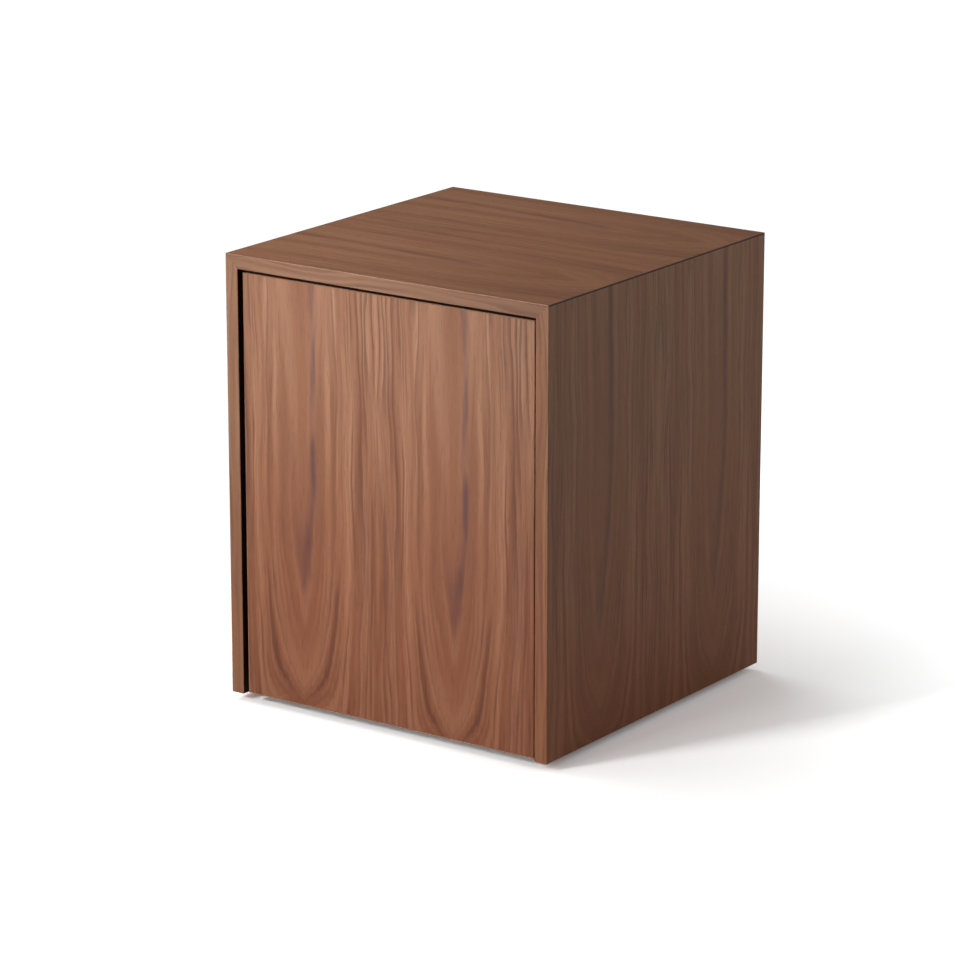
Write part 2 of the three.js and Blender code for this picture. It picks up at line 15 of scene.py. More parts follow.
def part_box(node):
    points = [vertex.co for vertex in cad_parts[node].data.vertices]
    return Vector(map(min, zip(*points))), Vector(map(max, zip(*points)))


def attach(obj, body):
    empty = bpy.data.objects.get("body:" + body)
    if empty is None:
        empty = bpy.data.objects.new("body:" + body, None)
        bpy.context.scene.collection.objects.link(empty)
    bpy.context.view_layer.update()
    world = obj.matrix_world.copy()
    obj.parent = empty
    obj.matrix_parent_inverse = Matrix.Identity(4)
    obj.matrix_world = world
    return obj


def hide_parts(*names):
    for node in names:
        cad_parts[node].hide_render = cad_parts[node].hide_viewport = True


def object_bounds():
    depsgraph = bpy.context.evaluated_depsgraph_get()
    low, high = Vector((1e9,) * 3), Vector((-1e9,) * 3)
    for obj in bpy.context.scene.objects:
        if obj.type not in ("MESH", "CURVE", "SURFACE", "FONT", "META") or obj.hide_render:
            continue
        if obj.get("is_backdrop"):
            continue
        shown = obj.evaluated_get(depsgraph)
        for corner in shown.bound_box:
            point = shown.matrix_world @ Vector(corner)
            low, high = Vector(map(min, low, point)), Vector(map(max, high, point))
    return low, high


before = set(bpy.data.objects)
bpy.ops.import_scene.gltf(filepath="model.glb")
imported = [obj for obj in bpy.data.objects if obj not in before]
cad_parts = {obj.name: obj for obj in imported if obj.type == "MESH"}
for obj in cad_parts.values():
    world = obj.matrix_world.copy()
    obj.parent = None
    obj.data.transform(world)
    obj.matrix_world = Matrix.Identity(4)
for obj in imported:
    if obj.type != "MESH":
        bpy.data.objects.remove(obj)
cad_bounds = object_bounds()
cad_low, cad_high = cad_bounds
MM = 0.001
print("CAD box in mm:", [round(v / MM, 1) for v in cad_high - cad_low])

# %% [markdown]
# ## Camera
# A long lens set well back keeps the edges of a box nearly parallel, which is how
# furniture is usually shown. The camera is placed by two angles and a distance
# from a point near the middle of the cube, so it is easy to walk round the object.

# %% Camera
VIEW_AZIMUTH = math.radians(35.21)
VIEW_ELEVATION = math.radians(15.79)
VIEW_DISTANCE = 4.603
AIM_OFFSET = Vector((-0.048, 0.036, -0.031))  # from the middle of the box

box_middle = (cad_low + cad_high) / 2
towards_camera = Vector((
    math.sin(VIEW_AZIMUTH) * math.cos(VIEW_ELEVATION),
    -math.cos(VIEW_AZIMUTH) * math.cos(VIEW_ELEVATION),
    math.sin(VIEW_ELEVATION),
))
camera_data = bpy.data.cameras.new("camera")
camera_data.lens = 162.5
camera_data.sensor_width = 36
camera = bpy.data.objects.new("camera", camera_data)
camera.location = box_middle + AIM_OFFSET + VIEW_DISTANCE * towards_camera
camera.rotation_euler = (math.pi / 2 - VIEW_ELEVATION, 0, VIEW_AZIMUTH)
bpy.context.collection.objects.link(camera)
bpy.context.scene.camera = camera
print("camera at", [round(v, 3) for v in camera.location])

# %% [markdown]
# ## Colours and nodes
# Colours are written as hex codes, as a paint or photo program shows them, and one
# function turns them into the linear values that Blender's shaders work in. A
# second small function adds a node, sets it and links it in one line.

# %% Colour and node helpers
def linear(code):
    """A hex colour as linear red, green, blue and full alpha."""
    values = [int(code[i:i + 2], 16) / 255 for i in (1, 3, 5)]
    bent = [v / 12.92 if v <= 0.04045 else ((v + 0.055) / 1.055) ** 2.4 for v in values]
    return (*bent, 1.0)


def add(tree, kind, inputs=None, **settings):
    """Adds a node. Each input is a plain value or another node's output."""
    node = tree.nodes.new(kind)
    for key, value in settings.items():
        setattr(node, key, value)
    for key, value in (inputs or {}).items():
        if isinstance(value, bpy.types.NodeSocket):
            tree.links.new(value, node.inputs[key])
        else:
            node.inputs[key].default_value = value
    return node


def new_material(name):
    """An empty material with its node tree and its output."""
    material = bpy.data.materials.new(name)
    material.use_nodes = True
    material.node_tree.nodes.clear()
    output = material.node_tree.nodes.new("ShaderNodeOutputMaterial")
    return material, material.node_tree, output


print("mid grey, linear:", [round(v, 3) for v in linear("#808080")[:3]])

# %% [markdown]
# ## Floor and light
# The studio is a wide white floor under five lights. A high, broad one lights the top
# and lays a soft shadow to the right. Three soft boxes with grids stand in front: one
# high on the left is aimed at the door's upper left, so that the door fades towards
# its foot, and two weaker ones fill the middle and the top. A wide panel behind on
# the right keeps the shaded side from going black, without shining into the door's
# gaps. The floor is lifted to a clean white only for the eye by a painted glow, which
# fades near the cabinet and so paints a shade round its foot; what the floor throws
# back at the cabinet stays weaker.

# %% Studio
scene = bpy.context.scene
scene.view_settings.view_transform = "Standard"
scene.view_settings.look = "None"

FLOOR_HALF = 30.0
floor_mesh = bpy.data.meshes.new("studio_floor")
floor_shape = bmesh.new()
bmesh.ops.create_grid(floor_shape, x_segments=1, y_segments=1, size=FLOOR_HALF)
floor_shape.to_mesh(floor_mesh)
floor_shape.free()
floor = bpy.data.objects.new("studio_floor", floor_mesh)
bpy.context.collection.objects.link(floor)
floor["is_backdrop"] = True

paper, tree, output = new_material("white_paper_sweep")
EXPOSED = 2.3  # how much brighter the eye sees the paper than the cabinet does
seen = add(tree, "ShaderNodeLightPath")
thrown = add(tree, "ShaderNodeBsdfDiffuse", {"Color": linear("#E6E6E6")})
exposed = add(tree, "ShaderNodeBsdfDiffuse", {
    "Color": (EXPOSED * 0.985, EXPOSED, EXPOSED * 1.005, 1.0),  # a slightly cool white
})
spot = add(tree, "ShaderNodeTexCoord")
distance = add(tree, "ShaderNodeVectorMath", {0: spot.outputs["Object"]}, operation="LENGTH")
# Painted shade: the floor's glow is weakest near the cabinet, which darkens the floor round it.
glow_fading_near_cabinet = add(tree, "ShaderNodeMapRange", {
    "Value": distance.outputs["Value"],
    "From Min": 0.2, "From Max": 0.8, "To Min": 0.09, "To Max": 0.36,
}, interpolation_type="SMOOTHSTEP")
lift = add(tree, "ShaderNodeEmission", {
    "Color": linear("#FFFFFF"), "Strength": glow_fading_near_cabinet.outputs["Result"],
})
both = add(tree, "ShaderNodeAddShader", {0: exposed.outputs[0], 1: lift.outputs[0]})
mixed = add(tree, "ShaderNodeMixShader", {
    0: seen.outputs["Is Camera Ray"],
    1: thrown.outputs[0],
    2: both.outputs[0],
})
tree.links.new(mixed.outputs[0], output.inputs["Surface"])
floor.data.materials.append(paper)

world = bpy.data.worlds.new("studio_air")
scene.world = world
world.use_nodes = True
world.node_tree.nodes["Background"].inputs["Color"].default_value = linear("#FFFFFF")
world.node_tree.nodes["Background"].inputs["Strength"].default_value = 0.15


def soft_box(name, place, aim, width, height, watts, spread):
    """A rectangular area light turned to face a point. spread is its grid's angle."""
    data = bpy.data.lights.new(name, "AREA")
    data.shape = "RECTANGLE"
    data.size = width
    data.size_y = height
    data.energy = watts
    data.spread = math.radians(spread)
    light = bpy.data.objects.new(name, data)
    light.location = place
    light.rotation_euler = (Vector(aim) - Vector(place)).to_track_quat("-Z", "Y").to_euler()
    bpy.context.collection.objects.link(light)
    return light


soft_box("high_left_box", (-0.7, -1.8, 1.2), (-0.10, -0.2, 0.43), 0.4, 0.4, 1.24, 37)
soft_box("front_box", (-0.3, -1.9, 0.75), (0.04, -0.2, 0.36), 0.6, 0.3, 0.26, 40)
soft_box("upper_front_box", (-0.3, -1.9, 0.75), (0.0, -0.2, 0.52), 0.6, 0.3, 0.26, 40)
soft_box("side_panel_light", (1.2, 1.5, 1.0), (0.2, 0.1, 0.25), 1.0, 1.0, 3.4, 180)

high_data = bpy.data.lights.new("high_light", "SUN")
high_data.energy = 0.57
high_data.angle = math.radians(50)
high_light = bpy.data.objects.new("high_light", high_data)
high_light.rotation_euler = Vector((0.6, 0.0, -0.95)).to_track_quat("-Z", "Y").to_euler()
bpy.context.collection.objects.link(high_light)

# %% [markdown]
# ## Walnut veneer
# Crown-cut walnut shows the growth rings as long nested flames. A log tapers, so a
# flat cut leaves one ring for the next as it runs along the board. Here the ring at a
# point is its distance from the heart, plus a bell-shaped term that is strongest over
# the heart and fades along the board. That one number, bent by a little noise, drives
# every layer of the figure: the broad tan and brown bands, the thin dark latewood
# lines and the violet-brown streaks. Pores are separate, short dashes along the
# grain. Leaves cut one after the other are laid side by side unturned, which is slip
# matching, so the same flame comes again one leaf along, 190 mm on the door.

# %% Walnut
AXES = {"X": 0, "Y": 1, "Z": 2}
# A near-black for painted shade in the gaps and for the dark glue line of a mitre.
SHADE_AND_GLUE_LINE_DARK = "#180B06"


def walnut(
    name,
    across,
    along,
    *,
    foot=0.0,
    flip=False,
    leaf=0.190,
    joint=0.0,
    crown=0.039,
    flame_length=0.104,
    light="#B38467",
    mid="#976549",
    dark="#6A4130",
    streak="#5A3B38",
    contrast=1.0,
    seed=0.0,
    painted_light_tints=("#FFFFFF", "#FFFFFF"),
    painted_shade_and_glue_lines=(),
    painted_highlights=(),
):
    """Clear-lacquered walnut. across and along name the object's axes.

    painted_light_tints colour the foot and the head of the board, as painted sheen and fall of light.
    Each of painted_shade_and_glue_lines and painted_highlights is a list of (strength, bounds);
    the bounds are (axis, low, high), and the part of the piece inside all of them takes that colour:
    the first darkens it, for painted shade in the gaps and for the dark glue line of a mitre,
    and the second lightens it, for a painted highlight.
    """
    material, tree, output = new_material(name)
    place = add(tree, "ShaderNodeTexCoord")
    split = add(tree, "ShaderNodeSeparateXYZ", {0: place.outputs["Object"]})
    side = split.outputs[AXES[across]]
    height = add(tree, "ShaderNodeMath", {
        0: split.outputs[AXES[along]],
        1: -1.0 if flip else 1.0,
        2: foot if flip else -foot,
    }, operation="MULTIPLY_ADD").outputs[0]

    # Position within a leaf, measured from the middle of the leaf.
    from_joint = add(tree, "ShaderNodeMath", {0: side, 1: joint}, operation="SUBTRACT").outputs[0]
    counted = add(tree, "ShaderNodeMath", {0: from_joint, 1: leaf}, operation="DIVIDE").outputs[0]
    leaf_number = add(tree, "ShaderNodeMath", {0: counted}, operation="FLOOR").outputs[0]
    in_leaf = add(tree, "ShaderNodeMath", {0: counted}, operation="FRACT").outputs[0]
    off_centre = add(tree, "ShaderNodeMath", {
        0: in_leaf, 1: leaf, 2: -leaf / 2,
    }, operation="MULTIPLY_ADD").outputs[0]
    # Each leaf comes from a little deeper in the log, so its flame sits lower.
    LEAF_DROP = 13 * MM
    rise = add(tree, "ShaderNodeMath", {
        0: leaf_number, 1: LEAF_DROP, 2: height,
    }, operation="MULTIPLY_ADD").outputs[0]

    # Slow wander of the grain, about 60 mm across by 200 mm along.
    wander_place = add(tree, "ShaderNodeCombineXYZ", {
        0: add(tree, "ShaderNodeMath", {0: off_centre, 1: 17.0}, operation="MULTIPLY").outputs[0],
        1: add(tree, "ShaderNodeMath", {0: rise, 1: 5.0}, operation="MULTIPLY").outputs[0],
        2: add(tree, "ShaderNodeMath", {
            0: leaf_number, 1: 0.12, 2: seed,
        }, operation="MULTIPLY_ADD").outputs[0],
    })
    wander = add(tree, "ShaderNodeTexNoise", {
        "Vector": wander_place.outputs[0], "Scale": 1.0, "Detail": 2.0, "Roughness": 0.5,
    })
    SWAY = 22 * MM  # from the farthest left to the farthest right
    bent = add(tree, "ShaderNodeMath", {
        0: wander.outputs[0], 1: SWAY, 2: off_centre,
    }, operation="MULTIPLY_ADD").outputs[0]
    bent = add(tree, "ShaderNodeMath", {0: bent, 1: SWAY / 2}, operation="SUBTRACT").outputs[0]

    # Distance from the heart of the log, then the flame's rise along the board.
    HEART_DEPTH = 6 * MM
    squared = add(tree, "ShaderNodeMath", {
        0: bent, 1: bent, 2: HEART_DEPTH ** 2,
    }, operation="MULTIPLY_ADD").outputs[0]
    radius = add(tree, "ShaderNodeMath", {0: squared}, operation="SQRT").outputs[0]
    # The flame fills the middle of a leaf and dies out towards its edges.
    FLAME_HALF_WIDTH = 43 * MM
    sideways = add(tree, "ShaderNodeMath", {
        0: squared, 1: -1 / FLAME_HALF_WIDTH ** 2,
    }, operation="MULTIPLY").outputs[0]
    fall = add(tree, "ShaderNodeMath", {
        0: rise, 1: -1 / flame_length, 2: sideways,
    }, operation="MULTIPLY_ADD").outputs[0]
    flame = add(tree, "ShaderNodeMath", {0: fall}, operation="EXPONENT").outputs[0]
    smooth_ring = add(tree, "ShaderNodeMath", {
        0: flame, 1: crown, 2: radius,
    }, operation="MULTIPLY_ADD").outputs[0]
    # Bundles of fibres about 3 mm wide slip past each other, which saws the tips to teeth.
    bundle_place = add(tree, "ShaderNodeCombineXYZ", {
        0: add(tree, "ShaderNodeMath", {0: off_centre, 1: 330.0}, operation="MULTIPLY").outputs[0],
        1: add(tree, "ShaderNodeMath", {0: rise, 1: 14.0}, operation="MULTIPLY").outputs[0],
        2: seed + 4.0,
    })
    bundles = add(tree, "ShaderNodeTexNoise", {
        "Vector": bundle_place.outputs[0], "Scale": 1.0, "Detail": 1.0, "Roughness": 0.5,
    }).outputs[0]
    TOOTH = 2.8 * MM
    teeth = add(tree, "ShaderNodeMath", {
        0: bundles, 1: TOOTH, 2: -TOOTH / 2,
    }, operation="MULTIPLY_ADD").outputs[0]
    ring = add(tree, "ShaderNodeMath", {0: smooth_ring, 1: teeth}, operation="ADD").outputs[0]

    def ring_noise(ring_scale, along_scale, offset, detail, roughness):
        """Noise that follows the rings and changes slowly along them."""
        spot = add(tree, "ShaderNodeCombineXYZ", {
            0: add(tree, "ShaderNodeMath", {0: ring, 1: ring_scale}, operation="MULTIPLY").outputs[0],
            1: add(tree, "ShaderNodeMath", {0: rise, 1: along_scale}, operation="MULTIPLY").outputs[0],
            2: offset + seed,
        })
        return add(tree, "ShaderNodeTexNoise", {
            "Vector": spot.outputs[0], "Scale": 1.0, "Detail": detail, "Roughness": roughness,
        }).outputs[0]

    def between(value, low, high, to_low=0.0, to_high=1.0):
        return add(tree, "ShaderNodeMapRange", {
            "Value": value, "From Min": low, "From Max": high, "To Min": to_low, "To Max": to_high,
        }, interpolation_type="SMOOTHSTEP").outputs["Result"]

    def blend_over(base, over, amount):
        mixed = add(tree, "ShaderNodeMix", data_type="RGBA", blend_type="MIX")
        for socket, value in ((mixed.inputs[0], amount), (mixed.inputs[6], base),
                              (mixed.inputs[7], over)):
            if isinstance(value, bpy.types.NodeSocket):
                tree.links.new(value, socket)
            else:
                socket.default_value = value
        return mixed.outputs[2]

    bands = ring_noise(70.0, 2.5, 3.7, 2.0, 0.5)  # broad bands of about 15 to 25 mm
    lines = ring_noise(210.0, 5.0, 9.1, 2.0, 0.55)  # growth lines 5 to 8 mm apart
    veins = ring_noise(60.0, 5.5, 15.3, 3.0, 0.62)  # colour veins 15 to 30 mm apart

    # Lines are plain to see on the flanks of a flame and faint over its middle.
    figured = add(tree, "ShaderNodeMath", {
        0: between(ring, 24 * MM, 48 * MM, 0.12, 1.0),
        1: between(radius, 8 * MM, 26 * MM, 0.35, 1.0),
    }, operation="MULTIPLY").outputs[0]
    # A growth ring darkens slowly and ends at once, so its profile is a saw's.
    RING_PITCH = 6.0 * MM
    ring_count = add(tree, "ShaderNodeMath", {
        0: ring, 1: 1 / RING_PITCH,
        2: add(tree, "ShaderNodeMath", {
            0: ring_noise(70.0, 4.0, 29.4, 1.0, 0.5), 1: 3.2,
        }, operation="MULTIPLY").outputs[0],
    }, operation="MULTIPLY_ADD").outputs[0]
    through_ring = add(tree, "ShaderNodeMath", {0: ring_count}, operation="FRACT").outputs[0]
    latewood = add(tree, "ShaderNodeMath", {
        0: between(through_ring, 0.30, 0.86), 1: between(through_ring, 1.0, 0.92),
    }, operation="MULTIPLY").outputs[0]
    latewood = add(tree, "ShaderNodeMath", {
        0: latewood, 1: between(ring_noise(120.0, 6.0, 33.8, 1.0, 0.5), 0.36, 0.64, 0.15, 1.0),
    }, operation="MULTIPLY").outputs[0]
    latewood = add(tree, "ShaderNodeMath", {0: latewood, 1: figured}, operation="MULTIPLY").outputs[0]
    line_marks = add(tree, "ShaderNodeMath", {
        0: between(lines, 0.46, 0.68), 1: figured,
    }, operation="MULTIPLY").outputs[0]
    pale_marks = add(tree, "ShaderNodeMath", {
        0: between(lines, 0.46, 0.30), 1: figured,
    }, operation="MULTIPLY").outputs[0]

    def weaker(marks, amount):
        return add(tree, "ShaderNodeMath", {0: marks, 1: amount}, operation="MULTIPLY").outputs[0]

    # How far each layer pulls the colour towards its own tone, at full contrast.
    PALE_BAND, DARK_BAND, STREAK = 0.65, 0.20, 0.42
    LATEWOOD, LINE, PALE_LINE, VEIN, PORE = 0.63, 0.32, 0.36, 0.95, 0.24
    pale_band = between(bands, 0.40, 0.62, 0.0, PALE_BAND * contrast)
    dark_band = between(bands, 0.48, 0.30, 0.0, DARK_BAND * contrast)
    colour = blend_over(linear(mid), linear(light), pale_band)
    colour = blend_over(colour, linear(dark), dark_band)
    colour = blend_over(colour, linear(dark), weaker(latewood, LATEWOOD * contrast))
    colour = blend_over(colour, linear(dark), weaker(line_marks, LINE * contrast))
    colour = blend_over(colour, linear(light), weaker(pale_marks, PALE_LINE * contrast))
    streaks = between(veins, 0.55, 0.74, 0.0, STREAK * contrast)
    colour = blend_over(colour, linear(streak), streaks)

    # One violet-brown vein runs up beside the heart, stronger on one flank.
    VEIN_RING = 17 * MM
    VEIN_HALF_WIDTH = 6.5 * MM
    near_vein = add(tree, "ShaderNodeMath", {0: ring, 1: VEIN_RING}, operation="SUBTRACT").outputs[0]
    near_vein = add(tree, "ShaderNodeMath", {0: near_vein}, operation="ABSOLUTE").outputs[0]
    vein_marks = add(tree, "ShaderNodeMath", {
        0: between(near_vein, VEIN_HALF_WIDTH, 0.5 * MM),
        1: between(bent, -16 * MM, 12 * MM, 0.15, 1.0),
    }, operation="MULTIPLY").outputs[0]
    vein_marks = add(tree, "ShaderNodeMath", {
        0: vein_marks, 1: between(ring_noise(40.0, 10.0, 21.7, 2.0, 0.5), 0.34, 0.60, 0.2, 0.85),
    }, operation="MULTIPLY").outputs[0]
    colour = blend_over(colour, linear(streak), weaker(vein_marks, VEIN * contrast))

    # Pores are 0.1 to 0.2 mm wide in walnut: drawn at 0.6 mm by 15 mm so that they show.
    pore_place = add(tree, "ShaderNodeCombineXYZ", {
        0: add(tree, "ShaderNodeMath", {0: bent, 1: 1100.0}, operation="MULTIPLY").outputs[0],
        1: add(tree, "ShaderNodeMath", {0: height, 1: 55.0}, operation="MULTIPLY").outputs[0],
        2: seed,
    })
    pores = add(tree, "ShaderNodeTexNoise", {
        "Vector": pore_place.outputs[0], "Scale": 1.0, "Detail": 1.0, "Roughness": 0.5,
    }).outputs[0]
    pore_marks = between(pores, 0.56, 0.70)
    colour = blend_over(colour, linear(dark), weaker(pore_marks, PORE * contrast))

    # Painted light: a tint from foot to head stands in for the sheen and fall of light.
    painted_light_tint = blend_over(linear(painted_light_tints[0]), linear(painted_light_tints[1]), between(height, 0.0, 0.42))
    tinted = add(tree, "ShaderNodeMix", data_type="RGBA", blend_type="MULTIPLY")
    tinted.inputs[0].default_value = 1.0
    tree.links.new(colour, tinted.inputs[6])
    tree.links.new(painted_light_tint, tinted.inputs[7])
    colour = tinted.outputs[2]

    def inside(bounds):
        """One inside every bound and nought outside any of them."""
        mask = None
        for axis, low, high in bounds:
            hit = add(tree, "ShaderNodeMath", {
                0: split.outputs[AXES[axis]], 1: (low + high) / 2, 2: (high - low) / 2,
            }, operation="COMPARE").outputs[0]
            mask = hit if mask is None else add(tree, "ShaderNodeMath", {
                0: mask, 1: hit,
            }, operation="MULTIPLY").outputs[0]
        return mask

    # Painted highlight: these bounds are drawn towards the light tone where the arris catches the
    # light.
    for strength, bounds in painted_highlights:
        colour = blend_over(colour, linear(light), weaker(inside(bounds), strength))
    # Painted shade in the gaps, and the dark glue line of a mitre, both in near-black.
    for strength, bounds in painted_shade_and_glue_lines:
        colour = blend_over(colour, linear(SHADE_AND_GLUE_LINE_DARK), weaker(inside(bounds), strength))

    gloss = between(pore_marks, 0.0, 1.0, 0.44, 0.60)
    relief = add(tree, "ShaderNodeBump", {
        "Strength": 0.25, "Distance": 0.12 * MM,
        "Height": add(tree, "ShaderNodeMath", {
            0: pore_marks, 1: -1.0,
        }, operation="MULTIPLY").outputs[0],
    })
    lacquered = add(tree, "ShaderNodeBsdfPrincipled", {
        "Base Color": colour,
        "Roughness": gloss,
        "Normal": relief.outputs[0],
        "IOR": 1.48,
    })
    tree.links.new(lacquered.outputs[0], output.inputs["Surface"])
    return material


door_low, door_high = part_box("door_panel")
door_joint = (door_low.x + door_high.x) / 2
case_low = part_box("left_side_panel")[0]
top_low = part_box("top_panel")[0]
inner_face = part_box("bottom_panel")[1].x + 0.05 * MM
ceiling = top_low.z + 0.05 * MM
# Each bound is an axis, a low and a high; one end of it lies clear of the cabinet.
# Painted shade: the rim that shows through the gaps is darkened to stand in for the shade inside them.
SHADED_REVEAL = ("Y", -0.21, cad_low.y + 22 * MM)  # the rim that shows through the gaps
TONES = {"light": "#C08B6D", "mid": "#A46C50", "dark": "#6B4133", "streak": "#694547"}
# Painted sheen: this tint greys the head of the door and sides and reddens their foot, as sheen lies
# on the upper part.
FACE_PAINTED_SHEEN = ("#FDEADA", "#F7FFFF")
SIDE_TONES = {"light": "#C4906E", "mid": "#AA7352", "dark": "#744A36", "streak": "#704C46"}
TOP_TONES = {"light": "#CA926B", "mid": "#AF7551", "dark": "#754A34", "streak": "#6A4844"}
SEAM = ("Z", cad_high.z - 1.8 * MM, 0.6)  # the glue line of the mitre
walnut_door = walnut("walnut_veneer_door", "X", "Z", foot=door_low.z, joint=door_joint - 0.0125,
                     seed=2.4, painted_light_tints=FACE_PAINTED_SHEEN, **TONES)
walnut_side = walnut("walnut_veneer_side", "Y", "Z", foot=case_low.z, joint=0.002, leaf=0.214,
                     seed=6.1, contrast=0.65, painted_light_tints=FACE_PAINTED_SHEEN,
                     painted_shade_and_glue_lines=[(0.93, [("X", -inner_face, inner_face), SHADED_REVEAL]),
                              (0.85, [SEAM])], **SIDE_TONES)
# Painted shade: the top's tint darkens it towards its right edge, away from the light.
walnut_top = walnut("walnut_veneer_top", "Y", "X", foot=cad_high.x, flip=True, joint=0.012,
                    leaf=0.22, seed=11.8, contrast=0.55, painted_light_tints=("#E8E2DA", "#FFFFFF"),
                    painted_shade_and_glue_lines=[(0.93, [("Z", 0.3, ceiling), SHADED_REVEAL])], **TOP_TONES)
walnut_inside = walnut("walnut_veneer_inside", "Y", "X", foot=-0.25, seed=17.2, contrast=0.7,
                       crown=0.02, joint=0.03, **TONES)
walnut_back = walnut("walnut_veneer_back", "X", "Z", foot=0.0, joint=-0.04, seed=23.9,
                     contrast=0.7, **TONES)
EDGE_TONES = {"light": "#C89574", "mid": "#B27D5E", "dark": "#805644", "streak": "#735048"}
# Painted light on the edgings: each tint lightens or darkens a strip's foot and head to follow the
# fall of light; the hinge side's set is a darker, shaded copy.
EDGE_PAINTED_LIGHT = ("#FFF8EE", "#DADFE0")
HINGE_SIDE_PAINTED_SHADE = ("#F6E1CF", "#DFD9D2")
PAINTED_ARRIS_HIGHLIGHT = ("Z", cad_high.z - 0.9 * MM, 0.6)  # painted highlight where the top arris faces the light
# Painted shade: the door's edging faces behind the front corner are darkened to stand in for the shade
# in the gaps.
SHADED_DOOR_EDGES = ("Y", cad_low.y + 0.7 * MM, 0.0)  # all but the front corner
walnut_edge_upright = walnut("walnut_edging_upright", "X", "Z", crown=0.0, leaf=0.9,
                             joint=-0.33, seed=31.0, contrast=0.8, painted_light_tints=EDGE_PAINTED_LIGHT,
                             **EDGE_TONES)
walnut_edge_right = walnut("walnut_edging_right", "X", "Z", crown=0.0, leaf=0.9,
                           joint=-0.33, seed=35.5, contrast=0.9, painted_light_tints=HINGE_SIDE_PAINTED_SHADE,
                           **EDGE_TONES)
# Painted shade: the level edgings' tint darkens them overall.
walnut_edge_level = walnut("walnut_edging_level", "Z", "X", crown=0.0, leaf=0.9,
                           joint=-0.6, seed=37.0, contrast=0.8, painted_light_tints=("#D4D8DA", "#D4D8DA"),
                           painted_highlights=[(0.3, [PAINTED_ARRIS_HIGHLIGHT])], **EDGE_TONES)
walnut_door_edge = walnut("walnut_edging_door", "Y", "Z", crown=0.0, leaf=0.9, joint=-0.5,
                          seed=43.0, contrast=0.7, painted_light_tints=EDGE_PAINTED_LIGHT,
                          painted_shade_and_glue_lines=[(0.86, [SHADED_DOOR_EDGES])], **EDGE_TONES)
print("walnut finishes:", [m.name for m in bpy.data.materials if m.name.startswith("walnut")])

# %% [markdown]
# ## Plain materials of the fittings
# Each fitting is a common one: zinc-plated steel screws and pins, a die-cast zinc
# hinge, a moulded catch with a ferrite magnet, nylon glides, beech dowels and a soft
# buffer. Each gets the fine unevenness that its making leaves.

# %% Fittings' materials
def grained(name, tones, size_mm, roughness, metallic=0.0, bump_mm=0.02, ior=1.5, stretch=(1, 1, 1)):
    """A finish whose colour, gloss and surface vary over spots of one real size."""
    material, tree, output = new_material(name)
    place = add(tree, "ShaderNodeTexCoord")
    scaled = add(tree, "ShaderNodeMapping", {"Vector": place.outputs["Object"], "Scale": stretch})
    spots = add(tree, "ShaderNodeTexNoise", {
        "Vector": scaled.outputs[0], "Scale": 1 / (size_mm * MM), "Detail": 3.0, "Roughness": 0.6,
    }).outputs[0]
    colour = add(tree, "ShaderNodeMix", data_type="RGBA")
    tree.links.new(spots, colour.inputs[0])
    colour.inputs[6].default_value = linear(tones[0])
    colour.inputs[7].default_value = linear(tones[1])
    gloss = add(tree, "ShaderNodeMapRange", {
        "Value": spots, "From Min": 0.3, "From Max": 0.7,
        "To Min": roughness - 0.07, "To Max": roughness + 0.07,
    })
    relief = add(tree, "ShaderNodeBump", {"Strength": 0.4, "Distance": bump_mm * MM, "Height": spots})
    shader = add(tree, "ShaderNodeBsdfPrincipled", {
        "Base Color": colour.outputs[2],
        "Roughness": gloss.outputs[0],
        "Normal": relief.outputs[0],
        "Metallic": metallic,
        "IOR": ior,
    })
    tree.links.new(shader.outputs[0], output.inputs["Surface"])
    return material


# Zinc plate on steel: pale, slightly blue, with a soft crystalline bloom.
zinc_plate = grained("zinc_plated_steel", ("#A9ADB2", "#CACDD0"), 1.2, 0.32, 1.0, 0.01)
# Die-cast zinc alloy: greyer and duller than plate, with a fine cast skin.
die_cast = grained("die_cast_zinc_alloy", ("#808387", "#9EA1A5"), 0.8, 0.42, 1.0, 0.02)
# Sintered ferrite: charcoal, quite matt, with a coarse ground face.
ferrite = grained("sintered_ferrite", ("#242424", "#3A3939"), 0.5, 0.6, 0.0, 0.03, 1.9)
# Moulded ABS: an even dark brown with a spark-eroded texture.
moulded_abs = grained("moulded_brown_abs", ("#33241C", "#40302A"), 0.7, 0.5, 0.0, 0.02, 1.53)
# Nylon glide: black with the faint mottle of a moulded, scuffed face.
nylon = grained("black_nylon", ("#161617", "#242425"), 1.5, 0.5, 0.0, 0.02, 1.53)
# Buffer dot: soft, slightly cloudy elastomer.
elastomer = grained("grey_elastomer", ("#66645F", "#7C7A75"), 1.0, 0.7, 0.0, 0.01, 1.5)
# Beech: pale pinkish timber with short, fine flecks along the length of a dowel.
beech = grained("turned_beech", ("#BF9A70", "#D9B78E"), 0.8, 0.6, 0.0, 0.03, 1.5, (0.08, 0.6, 1))
print("fittings' finishes:", zinc_plate.name, die_cast.name, ferrite.name, moulded_abs.name)

# %% [markdown]
# ## Boards
# The boards keep their CAD shape, holes and all. Real veneered boards never have
# razor edges: a pass of fine paper takes about a quarter of a millimetre off each
# arris. The CAD mesh is loose triangles, so a Weld modifier joins them first and a
# Bevel modifier then rounds only the sharp edges.

# %% Dress the boards
def dress(node_name, material, ease_mm, segments=2):
    """Gives a CAD node its finish and eases its edges."""
    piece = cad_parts[node_name]
    piece.data.materials.clear()
    piece.data.materials.append(material)
    weld = piece.modifiers.new("join_faces", "WELD")
    weld.merge_threshold = 0.002 * MM
    if ease_mm:
        ease = piece.modifiers.new("eased_edges", "BEVEL")
        ease.width = ease_mm * MM
        ease.segments = segments
        ease.limit_method = "ANGLE"
        ease.angle_limit = math.radians(35)
        ease.harden_normals = True
    return piece


